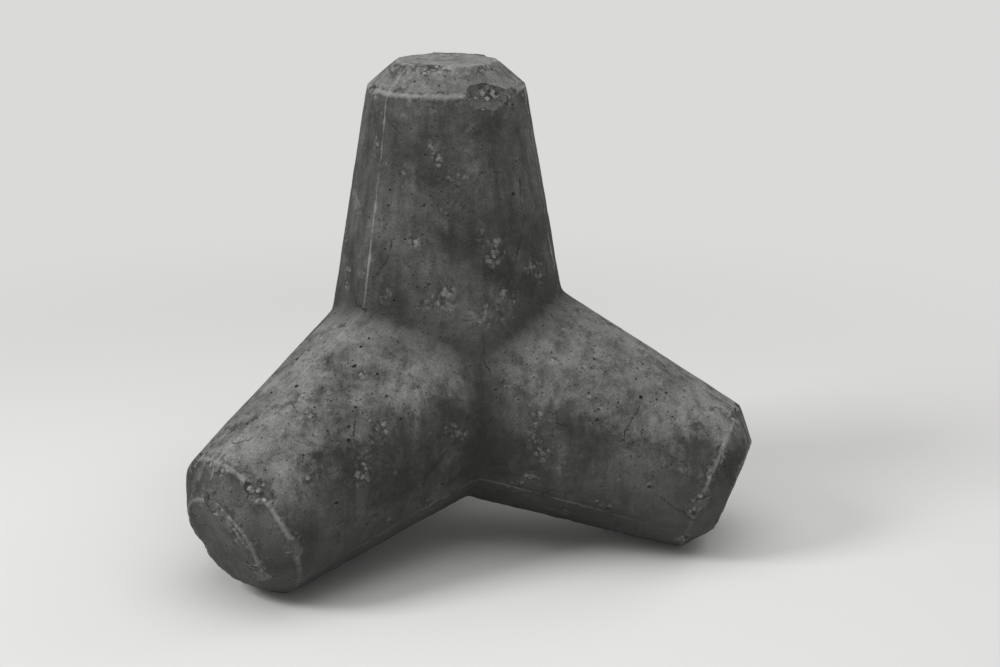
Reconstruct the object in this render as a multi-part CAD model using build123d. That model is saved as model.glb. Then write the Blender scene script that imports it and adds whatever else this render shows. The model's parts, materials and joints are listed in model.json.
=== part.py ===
from build123d import *
import os
from math import acos, degrees

# Concrete tetrapod: an unreinforced armour block for breakwaters, cast as one piece.
# Four equal tapered legs point to the corners of a regular tetrahedron. Each leg ends
# in a flat disc with a wide chamfer round it, and the legs run into each other in six
# hollow valleys. All sizes are in millimetres. The origin is the point where the four
# leg axes meet, which is also the centre of mass. The block stands on the rims of three
# legs, and the fourth leg stands straight up along +Z.

# Driving dimensions of the mould
leg_reach = 1063.0          # from the centre to the flat end of a leg, along its axis
leg_length = 787.0          # tapered length of a leg, from its crotch to its flat end
crotch_diameter = 775.0     # diameter of a leg where that length begins
end_diameter = 498.0        # diameter that the cone has at the flat end
chamfer_width = 85.0        # what the chamfer takes off the radius of the flat end
chamfer_depth = 85.0        # how far the chamfer reaches back along the leg
rim_radius = 12.0           # rounding of the rim, where the cone meets the chamfer
crotch_radius = 45.0        # hollow blend in the valleys between the legs

# Directions of the legs: the middle of a regular tetrahedron sees its corners so
angle_between_legs = degrees(acos(-1 / 3))
lower_leg_headings = (0.0, 120.0, 240.0)
half_turn = 180.0           # brings a tilted leg's neighbours round to where they belong
start_line_turn = 40.0      # keeps each cone's start line off the ends of its valleys


def leg_radius(distance):
    """Radius of a leg's cone at this distance from the centre."""
    taper = (crotch_diameter - end_diameter) / 2 / leg_length
    return end_diameter / 2 + taper * (leg_reach - distance)


def leg_solid():
    """One leg turned about +Z, from the centre of the block to the leg's flat end."""
    shoulder = leg_reach - chamfer_depth
    with BuildPart() as leg:
        with BuildSketch(Plane.XZ):
            with BuildLine():
                Polyline(
                    (0, 0),
                    (leg_radius(0), 0),
                    (leg_radius(shoulder), shoulder),
                    (end_diameter / 2 - chamfer_width, leg_reach),
                    (0, leg_reach),
                    close=True,
                )
            make_face()
        revolve(axis=Axis.Z)
        rim = leg.edges().filter_by(GeomType.CIRCLE).sort_by(Axis.Z)[-2]
        fillet(rim, radius=rim_radius)
    return Rotation(0, 0, start_line_turn) * leg.part


def leg_turns():
    """The turns that bring the upright leg to the place of each of the four legs."""
    turns = [Rotation(0, 0, 0)]
    for heading in lower_leg_headings:
        tilt = Rotation(0, angle_between_legs, 0) * Rotation(0, 0, half_turn)
        turns.append(Rotation(0, 0, heading) * tilt)
    return turns


def joined_legs():
    """The four legs in one solid, with sharp valleys where their cones meet."""
    leg = leg_solid()
    legs = [turn * leg for turn in leg_turns()]
    return legs[0].fuse(*legs[1:])


def blend_valleys(block):
    """A hollow blend along the six valley curves and at the four points they share."""
    valleys = block.edges().filter_by(GeomType.BSPLINE)
    return fillet(valleys, radius=crotch_radius)


tetrapod = blend_valleys(joined_legs())

os.makedirs("parts", exist_ok=True)
export_step(tetrapod, "parts/tetrapod.step")

overall = tetrapod.bounding_box().size
print("length, width and height in mm:", round(overall.X), round(overall.Y), round(overall.Z))
print("volume in cubic metres:", round(tetrapod.volume / 1e9, 4))
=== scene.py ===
"""Looks of a concrete tetrapod: an armour block, cast in one piece and long in the open."""
import json
import math
import random

import bmesh
import bpy
from bpy.props import FloatProperty, FloatVectorProperty, IntProperty, PointerProperty
from mathutils import Matrix, Vector, noise

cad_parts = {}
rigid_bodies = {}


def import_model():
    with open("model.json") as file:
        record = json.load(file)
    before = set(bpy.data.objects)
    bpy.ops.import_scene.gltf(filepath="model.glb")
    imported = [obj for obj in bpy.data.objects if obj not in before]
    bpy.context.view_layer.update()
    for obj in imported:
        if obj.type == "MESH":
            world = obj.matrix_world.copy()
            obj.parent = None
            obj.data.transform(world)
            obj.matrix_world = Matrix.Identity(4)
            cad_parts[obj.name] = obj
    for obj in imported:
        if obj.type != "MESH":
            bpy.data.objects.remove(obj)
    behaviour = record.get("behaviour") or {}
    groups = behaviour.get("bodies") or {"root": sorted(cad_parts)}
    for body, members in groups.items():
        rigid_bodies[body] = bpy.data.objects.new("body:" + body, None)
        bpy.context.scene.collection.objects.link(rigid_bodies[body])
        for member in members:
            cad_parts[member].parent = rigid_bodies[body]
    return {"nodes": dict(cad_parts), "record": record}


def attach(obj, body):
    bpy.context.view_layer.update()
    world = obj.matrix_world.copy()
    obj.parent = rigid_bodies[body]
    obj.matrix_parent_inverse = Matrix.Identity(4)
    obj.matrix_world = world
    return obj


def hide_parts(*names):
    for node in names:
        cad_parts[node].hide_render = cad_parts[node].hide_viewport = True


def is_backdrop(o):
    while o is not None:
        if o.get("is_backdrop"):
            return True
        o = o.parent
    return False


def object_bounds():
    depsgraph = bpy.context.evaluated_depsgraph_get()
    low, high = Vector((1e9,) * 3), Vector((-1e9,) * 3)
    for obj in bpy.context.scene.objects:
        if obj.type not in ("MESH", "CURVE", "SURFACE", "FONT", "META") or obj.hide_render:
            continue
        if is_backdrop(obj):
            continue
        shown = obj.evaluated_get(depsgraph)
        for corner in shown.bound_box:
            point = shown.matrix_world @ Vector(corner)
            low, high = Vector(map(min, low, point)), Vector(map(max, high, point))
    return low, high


bl_info = {
    "name": "Concrete Tetrapod",
    "version": (1, 0, 0),
    "blender": (4, 5, 0),
    "location": "View3D > Sidebar > Tetrapod",
    "description": "Models and finishes a weathered armour block round its packed frame",
    "category": "Add Mesh",
}

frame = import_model()
CAD_BOX = [list(corner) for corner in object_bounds()]
CAD_NODE = "tetrapod"
MOUNTS = {mount["name"]: mount for mount in frame["record"]["mounts"]}

# Directions of the legs, seen from the middle: one up, three down a third of a turn apart
LEG_TILT = math.acos(-1 / 3)
LOWER_HEADINGS = (0.0, 120.0, 240.0)
UP = Vector((0, 0, 1))

# Two places of the bare leg that are no further apart than this, in metres, are one
TOUCHING = 1e-4


def from_hex(text):
    """An sRGB colour such as 8a8984, as linear red, green, blue and alpha."""
    levels = [int(text[i:i + 2], 16) / 255 for i in (0, 2, 4)]
    return [v / 12.92 if v <= 0.04045 else ((v + 0.055) / 1.055) ** 2.4 for v in levels] + [1]


class TetrapodSizes(bpy.types.PropertyGroup):
    """Sizes of the cast shape, and how finely it is modelled."""
    leg_reach: FloatProperty(
        name="Leg reach", description="From the middle of the block to a leg's flat end",
        default=MOUNTS["top_end"]["pos_m"][2], unit="LENGTH")
    leg_length: FloatProperty(
        name="Leg length", description="Tapered length of a leg",
        default=0.787, unit="LENGTH")
    crotch_diameter: FloatProperty(
        name="Crotch diameter", description="Diameter of a leg where its taper begins",
        default=0.775, unit="LENGTH")
    end_diameter: FloatProperty(
        name="End diameter", description="Diameter of the cone at the flat end",
        default=0.498, unit="LENGTH")
    chamfer: FloatProperty(
        name="Chamfer", description="Width and depth of the chamfer round the flat end",
        default=0.085, unit="LENGTH")
    blend_width: FloatProperty(
        name="Valley blend", description="How far the hollow blend reaches from each valley",
        default=0.065, unit="LENGTH")
    sides: IntProperty(
        name="Sides", description="Faces round a leg, a multiple of twelve", default=180)
    facet: FloatProperty(
        name="Facet", description="Length of a face along the leg",
        default=0.01, unit="LENGTH")


class WearSizes(bpy.types.PropertyGroup):
    """Sizes of the marks that casting and the weather have left."""
    seam_width: FloatProperty(
        name="Seam width", description="Width of the fin that a mould joint leaves",
        default=0.012, unit="LENGTH")
    seam_height: FloatProperty(
        name="Seam height", description="Height of that fin where none of it has broken off",
        default=0.005, unit="LENGTH")
    rim_round: FloatProperty(
        name="Rim rounding", description="How far the rounding of the rims reaches",
        default=0.004, unit="LENGTH")
    rim_wear: FloatProperty(
        name="Rim wear", description="How far worn stretches of the rims are rubbed down",
        default=0.02, unit="LENGTH")
    flakes: IntProperty(
        name="Flakes", description="Flakes knocked off the rims of each leg", default=9)
    air_holes: IntProperty(
        name="Air holes", description="Open air holes on the whole block", default=560)
    seed: IntProperty(
        name="Seed", description="Which of the like blocks this is", default=11)


class ConcreteLook(bpy.types.PropertyGroup):
    """Colours of old weathered concrete, some also used for painted light and shade, and of the
    studio round it.
    """
    cement: FloatVectorProperty(
        name="Cement", description="The cement skin where it is clean",
        subtype="COLOR", size=4, default=from_hex("595957"))
    cement_dark: FloatVectorProperty(
        name="Dark cement", description="The darker clouds in the cement skin",
        subtype="COLOR", size=4, default=from_hex("343433"))
    # This pale also stands for painted light: the paler up-facing skin and a painted highlight
    # along the rims
    bleached_and_lit: FloatVectorProperty(
        name="Bleached", description="Skin that faces up, bleached by sun and salt",
        subtype="COLOR", size=4, default=from_hex("949491"))
    # This dark is also painted shade, in the valleys between the legs and inside the pinholes
    damp_and_shade: FloatVectorProperty(
        name="Damp", description="Soaked concrete with a film of algae, dirt and cracks",
        subtype="COLOR", size=4, default=from_hex("272826"))
    lime: FloatVectorProperty(
        name="Lime", description="Lime that has run out of the seams",
        subtype="COLOR", size=4, default=from_hex("a3a39f"))
    floor: FloatVectorProperty(
        name="Floor", description="The plain floor of the studio",
        subtype="COLOR", size=4, default=from_hex("dededc"))
    backdrop: FloatVectorProperty(
        name="Backdrop", description="The floor as it looks far behind the block",
        subtype="COLOR", size=4, default=from_hex("dadad8"))


# Helpers for edit mode and for whole meshes

def select_only(*objects):
    """Selects these objects and nothing else, with the first one active."""
    bpy.ops.object.select_all(action="DESELECT")
    for obj in objects:
        obj.select_set(True)
    bpy.context.view_layer.objects.active = objects[0]


def select_where(obj, kind, test):
    """In edit mode, selects the vertices or edges that pass the test, and nothing else."""
    bpy.ops.mesh.select_mode(type=kind)
    bpy.ops.mesh.select_all(action="DESELECT")
    mesh = bmesh.from_edit_mesh(obj.data)
    for part in mesh.verts if kind == "VERT" else mesh.edges:
        if test(part):
            part.select_set(True)
    mesh.select_flush_mode()
    bmesh.update_edit_mesh(obj.data)


def smooth_where(obj, test, rounds):
    """Smooths the vertices that pass the test, this many rounds."""
    bpy.ops.object.mode_set(mode="EDIT")
    select_where(obj, "VERT", test)
    bpy.ops.mesh.vertices_smooth(factor=0.5, repeat=rounds)
    bpy.ops.object.mode_set(mode="OBJECT")


def merge_near(obj, distance):
    """Merges the vertices that are no further apart than this."""
    bpy.ops.object.mode_set(mode="EDIT")
    bpy.ops.mesh.select_all(action="SELECT")
    bpy.ops.mesh.remove_doubles(threshold=distance)
    bpy.ops.object.mode_set(mode="OBJECT")


def apply_modifier(obj, kind, **settings):
    """Adds a modifier with these settings and applies it."""
    modifier = obj.modifiers.new(kind.lower(), kind)
    for name, value in settings.items():
        setattr(modifier, name, value)
    select_only(obj)
    bpy.ops.object.modifier_apply(modifier=modifier.name)


def put_in_order(obj):
    """Rewrites the mesh with its points and faces sorted by place.

    Some operators number them anew in each run, and what is drawn by number after that
    would come out differently each time."""
    mesh = obj.data
    by_place = sorted(mesh.vertices, key=lambda vertex: tuple(vertex.co))
    numbers = {vertex.index: number for number, vertex in enumerate(by_place)}
    points = [tuple(vertex.co) for vertex in by_place]
    faces = []
    for polygon in mesh.polygons:
        corners = [numbers[index] for index in polygon.vertices]
        first = corners.index(min(corners))
        faces.append(corners[first:] + corners[:first])
    mesh.clear_geometry()
    mesh.from_pydata(points, [], sorted(faces))


# The cast shape

def leg_axes():
    """Unit vectors along the four legs, the upright one first."""
    lower = [Matrix.Rotation(math.radians(h), 3, "Z") @ Matrix.Rotation(LEG_TILT, 3, "Y") @ UP
             for h in LOWER_HEADINGS]
    return [UP] + lower


def cone_radius(sizes, distance):
    """Radius of a leg's cone at this distance from the middle of the block."""
    taper = (sizes.crotch_diameter - sizes.end_diameter) / 2 / sizes.leg_length
    return sizes.end_diameter / 2 + taper * (sizes.leg_reach - distance)


def leg_rims(sizes):
    """Radius and distance of a leg's two rims: the chamfer's outer edge, then the disc's."""
    shoulder = sizes.leg_reach - sizes.chamfer
    outer = (cone_radius(sizes, shoulder), shoulder)
    return outer, (sizes.end_diameter / 2 - sizes.chamfer, sizes.leg_reach)


def extrude_up(rise, height, widening):
    """Extrudes the selected loop upwards and scales the new loop about the leg's axis."""
    bpy.ops.mesh.extrude_edges_move(TRANSFORM_OT_translate={"value": (0, 0, rise)})
    bpy.ops.transform.resize(value=(widening, widening, 1), center_override=(0, 0, height))


def cut_rings(leg, low, high, facet):
    """Cuts the stretch of the leg between two heights into rings a facet long."""
    slack, uncut = facet / 10, 4 * facet

    def runs_along(edge):
        bottom, top = sorted(vertex.co.z for vertex in edge.verts)
        return bottom > low - slack and top < high + slack and top - bottom > uncut
    select_where(leg, "EDGE", runs_along)
    cuts = round((high - low) / facet) - 1
    bpy.ops.mesh.subdivide_edgering(number_cuts=cuts, interpolation="LINEAR", smoothness=0)


def round_rims(leg, sizes, wear):
    """Rounds both rims of the leg's end."""
    def on_rim(edge):
        return any(all(math.dist((v.co.xy.length, v.co.z), rim) < TOUCHING for v in edge.verts)
                   for rim in leg_rims(sizes))
    select_where(leg, "EDGE", on_rim)
    bpy.ops.mesh.bevel(offset=wear.rim_round, segments=3, profile=0.5, affect="EDGES")


def model_leg(sizes, wear):
    """The upright leg as an open shell: a cone, its chamfer and the flat disc at its end."""
    root = cone_radius(sizes, 0)
    (rim, shoulder), (disc, end) = leg_rims(sizes)
    bpy.ops.object.select_all(action="DESELECT")
    bpy.ops.mesh.primitive_circle_add(vertices=sizes.sides, radius=root)
    leg = bpy.context.object
    bpy.ops.object.mode_set(mode="EDIT")
    bpy.ops.mesh.select_all(action="SELECT")
    extrude_up(shoulder, shoulder, rim / root)
    extrude_up(sizes.chamfer, end, disc / rim)
    # A narrow flat ring keeps the rounding of the disc's rim clear of the grid inside it
    extrude_up(0, end, 1 - 2 * wear.rim_round / disc)
    bpy.ops.mesh.fill_grid(span=sizes.sides // 4)
    round_rims(leg, sizes, wear)
    cut_rings(leg, 0, shoulder, sizes.facet)
    cut_rings(leg, shoulder, end, sizes.facet)
    return leg


def split_seam_lines(leg, sizes, wear):
    """Turns the three lines that face the neighbouring legs into narrow strips.

    The mould's four shells meet there. The middle line of each strip rises later."""
    third = 360 / len(LOWER_HEADINGS)
    degrees_off = 0.05
    top = sizes.leg_reach - sizes.facet

    def on_seam(edge):
        heights = [v.co.z for v in edge.verts]
        if abs(heights[0] - heights[1]) < TOUCHING or max(heights) > top:
            return False
        turns = [math.degrees(math.atan2(v.co.y, v.co.x)) % third for v in edge.verts]
        return all(min(turn, third - turn) < degrees_off for turn in turns)
    select_where(leg, "EDGE", on_seam)
    bpy.ops.mesh.bevel(offset=wear.seam_width / 2, segments=2, affect="EDGES")


def trim_to_neighbours(leg):
    """Cuts the leg's root along the three planes halfway to its neighbours."""
    for axis in leg_axes()[1:]:
        bpy.ops.mesh.select_all(action="SELECT")
        bpy.ops.mesh.bisect(
            plane_co=(0, 0, 0), plane_no=(UP - axis).normalized(),
            clear_inner=True, clear_outer=False, use_fill=False)
    bpy.ops.object.mode_set(mode="OBJECT")
    put_in_order(leg)


def join_legs(leg, sizes):
    """Copies the leg to its three other places and welds the four along the valleys."""
    legs = [leg]
    for heading in LOWER_HEADINGS:
        select_only(leg)
        bpy.ops.object.duplicate()
        copy = bpy.context.object
        # The half turn about its own axis brings the copy's cuts against the others'
        copy.matrix_world = (Matrix.Rotation(math.radians(heading), 4, "Z")
                             @ Matrix.Rotation(LEG_TILT, 4, "Y") @ Matrix.Rotation(math.pi, 4, "Z"))
        bpy.ops.object.transform_apply(location=False, rotation=True, scale=False)
        legs.append(copy)
    select_only(*legs)
    bpy.ops.object.join()
    block = bpy.context.object
    merge_near(block, sizes.facet / 20)
    block.name = block.data.name = "cast_block"
    return block


class Place:
    """Where a point of the block lies: on which leg, and how far from its features."""

    axes = leg_axes()
    # The distance, in metres, that stands for no seam nearby
    far = 1.0

    def __init__(self, point, sizes):
        along = sorted(((point.dot(axis), number) for number, axis in enumerate(self.axes)),
                       reverse=True)
        self.point = point
        self.distance, self.leg = along[0]
        self.axis = self.axes[self.leg]
        self.sizes = sizes
        across = (self.axis - self.axes[along[1][1]]).length
        self.to_valley = (self.distance - along[1][0]) / across
        self.from_axis = (point - self.axis * self.distance).length

    def to_rim(self):
        """Distance to the nearer rim of the leg's end."""
        return min(math.dist((self.from_axis, self.distance), rim)
                   for rim in leg_rims(self.sizes))

    def to_seam(self):
        """Distance to the nearest mould seam. The disc has none, so it is far from them."""
        # The disc's rim still has its seams' ends, so the disc is taken a little smaller
        if self.from_axis < self.sizes.end_diameter / 2 - self.sizes.chamfer * 1.01:
            return self.far
        nearest = self.far
        for number, other in enumerate(self.axes):
            if number != self.leg and self.point.dot(other - self.axis * self.axis.dot(other)) > 0:
                plane = self.axis.cross(other).normalized()
                nearest = min(nearest, abs(self.point.dot(plane)))
        return nearest


def blend_valleys(block, sizes):
    """Rounds out the six valleys and seats them on the blend of the cast solid."""
    smooth_where(block, lambda v: Place(v.co, sizes).to_valley < sizes.blend_width, rounds=20)
    # What is seated reaches a little further than what was smoothed
    reach = sizes.blend_width * 1.2
    valleys = block.vertex_groups.new(name="valleys")
    chosen = [v.index for v in block.data.vertices if Place(v.co, sizes).to_valley < reach]
    valleys.add(chosen, 1.0, "REPLACE")
    apply_modifier(block, "SHRINKWRAP", target=frame["nodes"][CAD_NODE],
                   wrap_method="NEAREST_SURFACEPOINT", vertex_group=valleys.name)


# What casting and the weather have done to it

def wear_rims(block, sizes, wear):
    """Rubs down some stretches of the rims, a hand's width to half a metre long."""
    patches_per_metre, rubbed = 5.0, 0.22

    def worn(vertex):
        if noise.noise(vertex.co * patches_per_metre) < rubbed:
            return False
        return Place(vertex.co, sizes).to_rim() < wear.rim_wear
    smooth_where(block, worn, rounds=3)


def add_texture(name, size, **settings):
    """A cloudy height texture whose features are about this many metres wide."""
    texture = bpy.data.textures.new(name, "CLOUDS")
    texture.noise_scale = size
    for key, value in settings.items():
        setattr(texture, key, value)
    return texture


def weigh(block, name, weight):
    """A vertex group that holds what the function gives for each vertex."""
    group = block.vertex_groups.new(name=name)
    for vertex in block.data.vertices:
        share = weight(vertex)
        if share > 0:
            group.add([vertex.index], min(share, 1.0), "REPLACE")
    return group.name


def add_relief(block, sizes, wear):
    """The uneven skin: dents of the mould, rough patches, seam fins, rough rims and feet."""
    fin_line, rim_reach, foot_reach = 0.0005, 0.035, 0.45
    floor = CAD_BOX[0][2]
    seams = weigh(block, "seams", lambda v: float(Place(v.co, sizes).to_seam() < fin_line))
    rims = weigh(block, "rims", lambda v: 1 - Place(v.co, sizes).to_rim() / rim_reach)
    feet = weigh(block, "feet", lambda v: 1 - (v.co.z - floor) / foot_reach)
    # Where each layer is, its texture, its height in metres, and the tone that stays put
    layers = (
        ("", add_texture("dents", 0.30, noise_depth=1), 0.007, 0.75),
        ("", add_texture("skin", 0.05, noise_depth=3), 0.003, 0.6),
        (seams, add_texture("fins", 0.05, contrast=2.0), wear.seam_height, 0.1),
        (rims, add_texture("rims", 0.03, noise_depth=2), 0.005, 0.8),
        (feet, add_texture("feet", 0.035, noise_depth=2), 0.007, 0.8),
    )
    for group, texture, height, middle in layers:
        apply_modifier(block, "DISPLACE", texture=texture, texture_coords="LOCAL",
                       vertex_group=group, strength=height, mid_level=middle)


def open_air_holes(block, sizes, wear):
    """Air that was trapped against the mould: round holes, most of them facing upwards."""
    chooser = random.Random(wear.seed + 1)
    taken = []
    # Radius of the holes in metres, and how many of all the holes have it
    for radius, share in ((0.0075, 0.07), (0.0055, 0.18), (0.004, 0.30), (0.003, 0.45)):
        count = round(wear.air_holes * share)
        chosen = choose_hole_places(block, sizes, chooser, radius, count, taken)
        sink_holes(block, chosen, radius)


def choose_hole_places(block, sizes, chooser, radius, count, taken):
    """Numbers of vertices with room for a hole this large, more where the concrete is porous.

    It is porous on what faces up, and in patches a hand's width or two across."""
    patches_per_metre = 4
    # Metres to the nearest rim, seam or valley, and to the nearest other hole
    margin, spacing = 0.02, 0.025
    mesh = block.data
    # The shortest edge at each vertex has to be a little longer than the hole's radius
    room_needed = radius * 1.1
    room = [1.0] * len(mesh.vertices)
    for edge in mesh.edges:
        start, end = (mesh.vertices[index].co for index in edge.vertices)
        for index in edge.vertices:
            room[index] = min(room[index], (start - end).length)
    candidates = [index for index, length in enumerate(room) if length > room_needed]
    chooser.shuffle(candidates)
    chosen = set()
    for index in candidates:
        if len(chosen) == count:
            break
        vertex = mesh.vertices[index]
        place = Place(vertex.co, sizes)
        patch = noise.noise(vertex.co * patches_per_metre)
        porous = 0.2 + 0.6 * max(0.0, vertex.normal.z) + 1.2 * patch
        clear = min(place.to_rim(), place.to_seam(), place.to_valley) > margin
        if not clear or chooser.random() > porous:
            continue
        if any((vertex.co - other).length < spacing for other in taken):
            continue
        chosen.add(index)
        taken.append(vertex.co.copy())
    return chosen


def sink_holes(block, chosen, radius):
    """Bevels the chosen vertices into small rounds, and sinks each into the skin."""
    bpy.ops.object.mode_set(mode="EDIT")
    select_where(block, "VERT", lambda v: v.index in chosen)
    round_profile = (1 - math.sqrt(0.5)) ** 2
    bpy.ops.mesh.bevel(offset=radius, segments=2, profile=round_profile, affect="VERTICES")
    bpy.ops.mesh.select_mode(type="FACE")
    # The wall is steep at first and then turns in towards the bottom
    for inwards, downwards in ((0.1, 0.6), (0.25, 0.4)):
        bpy.ops.mesh.inset(thickness=radius * inwards, depth=-radius * downwards)
    bpy.ops.object.mode_set(mode="OBJECT")
    put_in_order(block)


def rim_point(sizes, axis, turn, outer):
    """A point on a rim of the leg along this axis, and the way out of the concrete there."""
    side = axis.orthogonal().normalized()
    side.rotate(Matrix.Rotation(turn, 3, axis))
    radius, distance = leg_rims(sizes)[0 if outer else 1]
    # About halfway between the two faces that meet at the rim
    lean = 0.45 if outer else 2.4
    return axis * distance + side * radius, (side + axis * lean).normalized()


def add_flake(chooser, point, outward, axis):
    """A large rough lens, whose lowest part is the flake that a knock has taken off a rim."""
    half_length = chooser.triangular(0.035, 0.14, 0.06)
    half_width = half_length * chooser.uniform(0.6, 0.9)
    depth = half_length * chooser.uniform(0.15, 0.24)
    half_thickness = 3 * depth
    bpy.ops.object.select_all(action="DESELECT")
    bpy.ops.mesh.primitive_ico_sphere_add(subdivisions=4, radius=1)
    flake = bpy.context.object
    tangent = axis.cross(outward).normalized()
    frame_of_rim = Matrix((tangent, outward.cross(tangent), outward)).transposed().to_4x4()
    spin = Matrix.Rotation(chooser.uniform(-0.6, 0.6), 4, "Z")
    lean = Matrix.Rotation(chooser.uniform(-0.3, 0.3), 4, "X")
    middle = point + outward * (half_thickness - depth)
    flake.matrix_world = (Matrix.Translation(middle) @ frame_of_rim @ spin @ lean
                          @ Matrix.Diagonal((half_length, half_width, half_thickness, 1)))
    bpy.ops.object.transform_apply(location=True, rotation=True, scale=True)
    return flake


def knock_off_flakes(block, sizes, wear):
    """Breaks flakes out of the rims, and leaves rough hollows with sharp edges."""
    chooser = random.Random(wear.seed)
    # What makes the broken faces uneven, and how far from high to low, in metres
    fractures = ((add_texture("fracture", 0.07, noise_depth=1), 0.03),
                 (add_texture("fracture_grain", 0.025, noise_depth=3), 0.014))
    broken = bpy.data.materials.new("broken_face")
    block.data.materials.append(bpy.data.materials.new("cast_face"))
    flakes = bpy.data.collections.new("flakes")
    for axis in Place.axes:
        for number in range(wear.flakes):
            turn = (number + chooser.uniform(0.2, 0.8)) * math.tau / wear.flakes
            # Two in three are on the outer rim, which takes most of the knocks
            point, outward = rim_point(sizes, axis, turn, outer=number % 3 < 2)
            flake = add_flake(chooser, point, outward, axis)
            for texture, strength in fractures:
                apply_modifier(flake, "DISPLACE", strength=strength, mid_level=0.5,
                               texture=texture, texture_coords="LOCAL")
            flake.data.materials.append(broken)
            flakes.objects.link(flake)
    apply_modifier(block, "BOOLEAN", operation="DIFFERENCE", solver="MANIFOLD",
                   operand_type="COLLECTION", collection=flakes, material_mode="TRANSFER")
    for flake in list(flakes.objects):
        bpy.data.objects.remove(flake)
    bpy.data.collections.remove(flakes)
    # The cut leaves slivers, thinner than a grain of sand, which are merged away
    merge_near(block, sizes.facet / 200)


def paint_places(block, sizes):
    """Writes how near each vertex is to a seam, a rim and a valley, for the materials."""
    mesh = block.data
    # How far from each one its share falls to nothing, in metres
    reaches = {"near_seam": 0.02, "near_rim": 0.05, "near_valley": 0.12}
    values = {name: [] for name in reaches}
    for vertex in mesh.vertices:
        place = Place(vertex.co, sizes)
        gaps = {"near_seam": place.to_seam(), "near_rim": place.to_rim(),
                "near_valley": place.to_valley}
        for name, gap in gaps.items():
            values[name].append(max(0.0, 1 - gap / reaches[name]))
    for name, shares in values.items():
        mesh.attributes.new(name, "FLOAT", "POINT").data.foreach_set("value", shares)


# Materials

def per_metre(millimetres):
    """The scale of a pattern whose features are this far apart."""
    return 1000 / millimetres


def bare_tree(owner):
    """The node tree of a material or world, with its first nodes taken out."""
    owner.use_nodes = True
    owner.node_tree.nodes.clear()
    return owner.node_tree


def add_node(tree, kind, inputs=None, **settings):
    """Adds a node with its settings. An input is a value or the socket that feeds it.

    A Mix node takes its share at 0 and its colours at 6 and 7, or its vectors at 4 and 5.
    MULTIPLY_ADD gives input 0 times input 1, plus input 2."""
    node = tree.nodes.new(kind)
    for name, value in settings.items():
        setattr(node, name, value)
    for key, value in (inputs or {}).items():
        if isinstance(value, bpy.types.NodeSocket):
            tree.links.new(value, node.inputs[key])
        else:
            node.inputs[key].default_value = value
    return node


def add_coat(tree, below, coat, pattern, bare, full, most=1.0):
    """Lays a coat over a colour. Gives the new colour and the share that the coat has.

    The share goes from nothing, where the pattern is at bare, to most, where it is at full."""
    share = add_node(tree, "ShaderNodeMapRange", {
        "Value": pattern, "From Min": bare, "From Max": full, "To Max": most}).outputs[0]
    mixed = add_node(tree, "ShaderNodeMix", {0: share, 6: below, 7: coat}, data_type="RGBA")
    return mixed.outputs[2], share


def shade(tree, colour, pattern, darkest, palest):
    """Multiplies a colour by a noise pattern, which is stretched between these factors."""
    factor = add_node(tree, "ShaderNodeMapRange", {
        "Value": pattern, "From Min": 0.3, "From Max": 0.7,
        "To Min": darkest, "To Max": palest}).outputs[0]
    return add_node(tree, "ShaderNodeMix", {0: 1.0, 6: colour, 7: factor},
                    data_type="RGBA", blend_type="MULTIPLY").outputs[2]


def stack_relief(tree, heights):
    """A bumpy normal from patterns and how many millimetres high each one stands."""
    relief = 0.0
    for pattern, millimetres in heights:
        relief = add_node(tree, "ShaderNodeMath", {
            0: pattern, 1: millimetres, 2: relief}, operation="MULTIPLY_ADD").outputs[0]
    return add_node(tree, "ShaderNodeBump", {
        "Height": relief, "Strength": 1.0, "Distance": 0.001}).outputs[0]


def add_stones(tree, look, place):
    """Stones of 8 to 20 mm in dark cement: their colour, and a pattern that is least in the
    middle of a stone and most in the gaps between them."""
    # Each place is shifted by a few millimetres more or less, which makes them crooked
    crooked = add_node(tree, "ShaderNodeTexNoise", {
        "Vector": place, "Scale": per_metre(22), "Detail": 2})
    moved = add_node(tree, "ShaderNodeVectorMath", {
        0: crooked.outputs["Color"], 1: (0.016, 0.016, 0.016), 2: place},
        operation="MULTIPLY_ADD")
    stones = add_node(tree, "ShaderNodeTexVoronoi", {
        "Vector": moved.outputs[0], "Scale": per_metre(16)})
    tone = add_node(tree, "ShaderNodeSeparateColor", {0: stones.outputs["Color"]})
    stone = add_node(tree, "ShaderNodeMix", {
        0: tone.outputs[0], 6: look.damp_and_shade, 7: look.bleached_and_lit}, data_type="RGBA")
    gap = stones.outputs["Distance"]
    colour, _ = add_coat(tree, look.cement_dark, stone.outputs[2], gap, 0.65, 0.45)
    return colour, gap


def add_pinholes(tree, place):
    """Where pinholes are: 3 mm across, in one in four of cells about 14 mm wide."""
    cells = add_node(tree, "ShaderNodeTexVoronoi", {"Vector": place, "Scale": per_metre(14)})
    hole = add_node(tree, "ShaderNodeMapRange", {
        "Value": cells.outputs["Distance"], "From Min": 0.24, "From Max": 0.14})
    draw = add_node(tree, "ShaderNodeSeparateColor", {0: cells.outputs["Color"]})
    drawn = add_node(tree, "ShaderNodeMath", {
        0: draw.outputs[0], 1: 0.75}, operation="GREATER_THAN")
    return add_node(tree, "ShaderNodeMath", {
        0: hole.outputs[0], 1: drawn.outputs[0]}, operation="MULTIPLY").outputs[0]


def add_cracks(tree, place, bend, washed):
    """Where hairline cracks are: a few of the borders of cells 420 mm wide."""
    bent = add_node(tree, "ShaderNodeMix", {0: 0.12, 4: place, 5: bend}, data_type="VECTOR")
    cells = add_node(tree, "ShaderNodeTexVoronoi", {
        "Vector": bent.outputs[1], "Scale": per_metre(420)}, feature="DISTANCE_TO_EDGE")
    crack = add_node(tree, "ShaderNodeMapRange", {
        "Value": cells.outputs["Distance"], "From Min": 0.006, "From Max": 0.002})
    kept = add_node(tree, "ShaderNodeMapRange", {
        "Value": washed, "From Min": 0.5, "From Max": 0.44})
    return add_node(tree, "ShaderNodeMath", {
        0: crack.outputs[0], 1: kept.outputs[0]}, operation="MULTIPLY").outputs[0]


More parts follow.
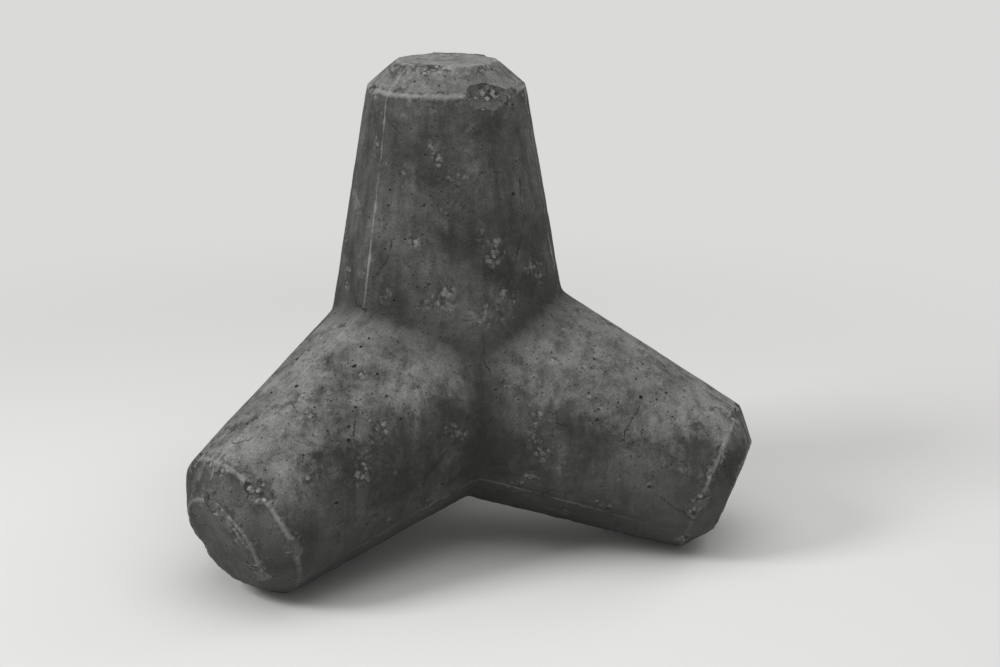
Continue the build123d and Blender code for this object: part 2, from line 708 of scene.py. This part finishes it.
def cast_concrete(look):
    """Cast concrete: a grey cement skin off a steel mould, after years in rain and salt air.

    To the eye it is matt and cloudy, sandy close to, pale in broken patches where it faces
    up, streaked on its steep sides, and nearly black where it stays wet. Where the skin has
    washed off, the stones in it show."""
    material = bpy.data.materials["cast_face"]
    material.name = "weathered_cast_concrete"
    tree = bare_tree(material)
    place = add_node(tree, "ShaderNodeTexCoord").outputs["Object"]
    height = add_node(tree, "ShaderNodeSeparateXYZ", {0: place}).outputs["Z"]
    normal = add_node(tree, "ShaderNodeNewGeometry").outputs["Normal"]
    facing_up = add_node(tree, "ShaderNodeSeparateXYZ", {0: normal}).outputs["Z"]
    rim, seam, valley = (
        add_node(tree, "ShaderNodeAttribute", attribute_name=name).outputs["Fac"]
        for name in ("near_rim", "near_seam", "near_valley"))

    # Millimetres across, detail and roughness of the noises that the layers share. Sand
    # grains of 1 to 3 mm are drawn at 6 mm, so that they show.
    kinds = {"clouds": (300, 8, 0.68), "patches": (160, 9, 0.72), "washed": (110, 5, 0.6),
             "mottles": (40, 6, 0.7), "sand": (6, 3, 0.7)}
    noises = {}
    for name, (size, detail, roughness) in kinds.items():
        noises[name] = add_node(tree, "ShaderNodeTexNoise", {
            "Vector": place, "Scale": per_metre(size), "Detail": detail, "Roughness": roughness})
    clouds, patches, washed, mottles, sand = (node.outputs["Fac"] for node in noises.values())

    # Clouds of richer and leaner cement, and mottles where it lay denser against the steel
    colour, _ = add_coat(tree, look.cement_dark, look.cement, clouds, 0.4, 0.6)
    colour = shade(tree, colour, mottles, 0.66, 1.3)

    # What faces up is paler, in patches with ragged borders: partly bleaching, partly painted light
    # from the sky on the up-facing sides
    sky_lit_and_bleached = add_node(tree, "ShaderNodeMath", {
        0: patches, 1: 2.2, 2: facing_up}, operation="MULTIPLY_ADD").outputs[0]
    colour, _ = add_coat(tree, colour, look.bleached_and_lit, sky_lit_and_bleached, 1.45, 2.1, most=0.7)

    # Where the skin has washed off, first at the rims, stones show among sand
    stone, stone_gap = add_stones(tree, look, place)
    washed_there = add_node(tree, "ShaderNodeMath", {
        0: rim, 1: 0.14, 2: washed}, operation="MULTIPLY_ADD").outputs[0]
    colour, bared = add_coat(tree, colour, stone, washed_there, 0.57, 0.65, most=0.7)
    colour = shade(tree, colour, sand, 0.68, 1.32)

    # Rain runs down the steep sides in streaks 45 mm wide and half a metre long
    runs_place = add_node(tree, "ShaderNodeMapping", {
        "Vector": place, "Scale": (per_metre(45), per_metre(45), per_metre(500))})
    runs = add_node(tree, "ShaderNodeTexNoise", {
        "Vector": runs_place.outputs[0], "Scale": 1, "Detail": 6, "Roughness": 0.65})
    colour, _ = add_coat(tree, colour, look.damp_and_shade, runs.outputs["Fac"], 0.48, 0.68, most=0.6)

    # The rims are rubbed pale, and the pale line along them is also a painted highlight
    rubbed = add_node(tree, "ShaderNodeMath", {
        0: mottles, 1: 0.5, 2: rim}, operation="MULTIPLY_ADD").outputs[0]
    colour, _ = add_coat(tree, colour, look.bleached_and_lit, rubbed, 0.98, 1.22, most=0.8)

    # Lime that has run out of a seam leaves a pale line, broken where it has washed off
    limed = add_node(tree, "ShaderNodeMath", {
        0: patches, 1: 1.5, 2: seam}, operation="MULTIPLY_ADD").outputs[0]
    colour, _ = add_coat(tree, colour, look.lime, limed, 1.5, 1.95, most=0.8)

    # Painted shade: darker in the valleys between the legs, in patches
    painted_valley_shade = add_node(tree, "ShaderNodeMath", {
        0: valley, 1: patches}, operation="MULTIPLY").outputs[0]
    colour, _ = add_coat(tree, colour, look.damp_and_shade, painted_valley_shade, 0.1, 0.55, most=0.65)

    # The lower part stays wet, up to a ragged line
    wettest = 0.82
    ragged_height = add_node(tree, "ShaderNodeMath", {
        0: patches, 1: -0.7, 2: height}, operation="MULTIPLY_ADD").outputs[0]
    colour, wet = add_coat(tree, colour, look.damp_and_shade, ragged_height, -0.58, -0.78, most=wettest)

    # Pinholes are painted dark as shade inside them, and cracks are dark
    opened = add_node(tree, "ShaderNodeMath", {
        0: add_pinholes(tree, place),
        1: add_cracks(tree, place, noises["clouds"].outputs["Color"], washed)},
        operation="MAXIMUM").outputs[0]
    colour = add_node(tree, "ShaderNodeMix", {
        0: opened, 6: colour, 7: look.damp_and_shade}, data_type="RGBA").outputs[2]

    stone_depth = add_node(tree, "ShaderNodeMath", {
        0: stone_gap, 1: bared}, operation="MULTIPLY").outputs[0]
    bumps = stack_relief(tree, (
        (sand, 4.0), (mottles, 12.0), (stone_depth, -8.0), (opened, -2.0)))

    # Dry cement is matt, and the wet part has a dull shine. The IOR of both is the default 1.5.
    roughness = add_node(tree, "ShaderNodeMapRange", {
        "Value": wet, "From Max": wettest, "To Min": 0.9, "To Max": 0.5})
    shader = add_node(tree, "ShaderNodeBsdfPrincipled", {
        "Base Color": colour, "Roughness": roughness.outputs[0], "Normal": bumps})
    add_node(tree, "ShaderNodeOutputMaterial", {0: shader.outputs[0]})


def broken_concrete(look):
    """Broken concrete: stones and sand in paler cement, where a flake has come off.

    To the eye it is rougher than the cast skin, with lumps of clean cement between groups
    of stones."""
    material = bpy.data.materials["broken_face"]
    material.name = "broken_concrete"
    tree = bare_tree(material)
    place = add_node(tree, "ShaderNodeTexCoord").outputs["Object"]
    stone, stone_gap = add_stones(tree, look, place)
    lumps = add_node(tree, "ShaderNodeTexNoise", {
        "Vector": place, "Scale": per_metre(35), "Detail": 4, "Roughness": 0.6})
    colour, _ = add_coat(tree, stone, look.cement, lumps.outputs["Fac"], 0.42, 0.56)
    # Sand grains of 1 to 3 mm, drawn at 6 mm so that they show
    grit = add_node(tree, "ShaderNodeTexNoise", {
        "Vector": place, "Scale": per_metre(6), "Detail": 4}).outputs["Fac"]
    colour = shade(tree, colour, grit, 0.6, 1.2)
    bumps = stack_relief(tree, ((grit, 2.5), (stone_gap, -6.0)))
    shader = add_node(tree, "ShaderNodeBsdfPrincipled", {
        "Base Color": colour, "Roughness": 0.92, "Normal": bumps})
    add_node(tree, "ShaderNodeOutputMaterial", {0: shader.outputs[0]})


# Stage

def floor_material(look):
    """A pale matt floor that stays as pale far behind the block, where no lamp reaches."""
    material = bpy.data.materials.new("studio_floor")
    tree = bare_tree(material)
    near = add_node(tree, "ShaderNodeBsdfPrincipled", {"Base Color": look.floor, "Roughness": 0.9})
    far = add_node(tree, "ShaderNodeEmission", {"Color": look.backdrop, "Strength": 1.0})
    place = add_node(tree, "ShaderNodeTexCoord").outputs["Object"]
    distance = add_node(tree, "ShaderNodeVectorMath", {0: place}, operation="LENGTH")
    far_share = add_node(tree, "ShaderNodeMapRange", {
        "Value": distance.outputs["Value"], "From Min": 1.5, "From Max": 4.5},
        interpolation_type="SMOOTHSTEP")
    seen = add_node(tree, "ShaderNodeLightPath").outputs["Is Camera Ray"]
    share = add_node(tree, "ShaderNodeMath", {
        0: far_share.outputs[0], 1: seen}, operation="MULTIPLY")
    mixed = add_node(tree, "ShaderNodeMixShader", {
        0: share.outputs[0], 1: near.outputs[0], 2: far.outputs[0]})
    add_node(tree, "ShaderNodeOutputMaterial", {0: mixed.outputs[0]})
    return material


def studio_air(look):
    """Even light from all round, which the camera sees as the pale backdrop."""
    world = bpy.data.worlds.new("studio_air")
    tree = bare_tree(world)
    light = add_node(tree, "ShaderNodeBackground", {"Color": (1, 1, 1, 1), "Strength": 0.2})
    backdrop = add_node(tree, "ShaderNodeBackground", {"Color": look.backdrop, "Strength": 1.0})
    seen = add_node(tree, "ShaderNodeLightPath").outputs["Is Camera Ray"]
    mixed = add_node(tree, "ShaderNodeMixShader", {
        0: seen, 1: light.outputs[0], 2: backdrop.outputs[0]})
    add_node(tree, "ShaderNodeOutputWorld", {0: mixed.outputs[0]})
    return world


def add_light(name, direction, distance, size, power, aim):
    """A square soft light that looks at the block from this direction."""
    bpy.ops.object.select_all(action="DESELECT")
    bpy.ops.object.light_add(type="AREA", location=aim + direction.normalized() * distance)
    light = bpy.context.object
    light.name = name
    light.data.size = size
    light.data.energy = power
    light.rotation_mode = "QUATERNION"
    light.rotation_quaternion = direction.to_track_quat("Z", "Y")


def add_camera(aim, azimuth, elevation, distance, lens):
    """The camera, which looks down on the block as steeply as the photograph's does."""
    turn, rise = math.radians(azimuth), math.radians(elevation)
    back = Vector((math.sin(turn) * math.cos(rise), -math.cos(turn) * math.cos(rise),
                   math.sin(rise)))
    bpy.ops.object.camera_add(location=aim + back * distance)
    camera = bpy.context.object
    camera.rotation_mode = "QUATERNION"
    camera.rotation_quaternion = back.to_track_quat("Z", "Y")
    camera.data.lens = lens
    bpy.context.scene.camera = camera


class TETRAPOD_OT_cast_block(bpy.types.Operator):
    """Models the cast block, wears it and gives it its concrete"""
    bl_idname = "tetrapod.cast_block"
    bl_label = "Cast block"

    def execute(self, context):
        sizes, wear = context.scene.tetrapod_sizes, context.scene.tetrapod_wear
        look = context.scene.tetrapod_look
        leg = model_leg(sizes, wear)
        split_seam_lines(leg, sizes, wear)
        trim_to_neighbours(leg)
        block = join_legs(leg, sizes)
        blend_valleys(block, sizes)
        wear_rims(block, sizes, wear)
        add_relief(block, sizes, wear)
        open_air_holes(block, sizes, wear)
        knock_off_flakes(block, sizes, wear)
        paint_places(block, sizes)
        block.vertex_groups.clear()
        select_only(block)
        bpy.ops.object.shade_smooth_by_angle(angle=math.radians(18))
        cast_concrete(look)
        broken_concrete(look)
        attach(block, "root")
        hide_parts(CAD_NODE)
        return {"FINISHED"}


class TETRAPOD_OT_studio_stage(bpy.types.Operator):
    """Sets up the plain floor, the soft lights and the camera"""
    bl_idname = "tetrapod.studio_stage"
    bl_label = "Studio stage"

    def execute(self, context):
        look = context.scene.tetrapod_look
        low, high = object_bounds()
        middle = (low + high) / 2
        bpy.ops.object.select_all(action="DESELECT")
        bpy.ops.mesh.primitive_plane_add(size=60, location=(0, 0, low.z))
        floor = bpy.context.object
        floor.name = "studio_floor"
        floor.data.materials.append(floor_material(look))
        floor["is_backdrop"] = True
        # Direction from the block, distance and size in metres, and power in watts
        lights = {
            "sky_light": ((0.1, -0.2, 1), 6.0, 7.0, 255),
            "key_light": ((-1, -0.75, 0.9), 10.0, 3.3, 560),
            "front_light": ((0.25, -1, 0.2), 10.0, 6.0, 140),
            "back_light": ((0.8, 1, 0.7), 10.0, 6.0, 260),
        }
        for name, (direction, distance, size, power) in lights.items():
            add_light(name, Vector(direction), distance, size, power, middle)
        context.scene.world = studio_air(look)
        add_camera(middle - UP * 0.12, azimuth=14, elevation=17, distance=6.0, lens=63)
        context.scene.view_settings.view_transform = "Standard"
        return {"FINISHED"}


class TETRAPOD_PT_panel(bpy.types.Panel):
    """The block's sizes, wear and colours, and the steps that make it"""
    bl_label = "Concrete tetrapod"
    bl_idname = "TETRAPOD_PT_panel"
    bl_space_type = "VIEW_3D"
    bl_region_type = "UI"
    bl_category = "Tetrapod"

    def draw(self, context):
        for group in (context.scene.tetrapod_sizes, context.scene.tetrapod_wear,
                      context.scene.tetrapod_look):
            for name in group.__annotations__:
                self.layout.prop(group, name)
        self.layout.operator(TETRAPOD_OT_cast_block.bl_idname)
        self.layout.operator(TETRAPOD_OT_studio_stage.bl_idname)


CLASSES = (TetrapodSizes, WearSizes, ConcreteLook, TETRAPOD_OT_cast_block,
           TETRAPOD_OT_studio_stage, TETRAPOD_PT_panel)


def register():
    """Makes the classes known, and gives the scene its properties."""
    for item in CLASSES:
        bpy.utils.register_class(item)
    bpy.types.Scene.tetrapod_sizes = PointerProperty(type=TetrapodSizes)
    bpy.types.Scene.tetrapod_wear = PointerProperty(type=WearSizes)
    bpy.types.Scene.tetrapod_look = PointerProperty(type=ConcreteLook)


def unregister():
    """Takes the properties and the classes away again."""
    del bpy.types.Scene.tetrapod_look
    del bpy.types.Scene.tetrapod_wear
    del bpy.types.Scene.tetrapod_sizes
    for item in reversed(CLASSES):
        bpy.utils.unregister_class(item)


def main():
    """Makes the block and the stage."""
    register()
    bpy.ops.tetrapod.cast_block()
    bpy.ops.tetrapod.studio_stage()


if __name__ == "__main__":
    main()
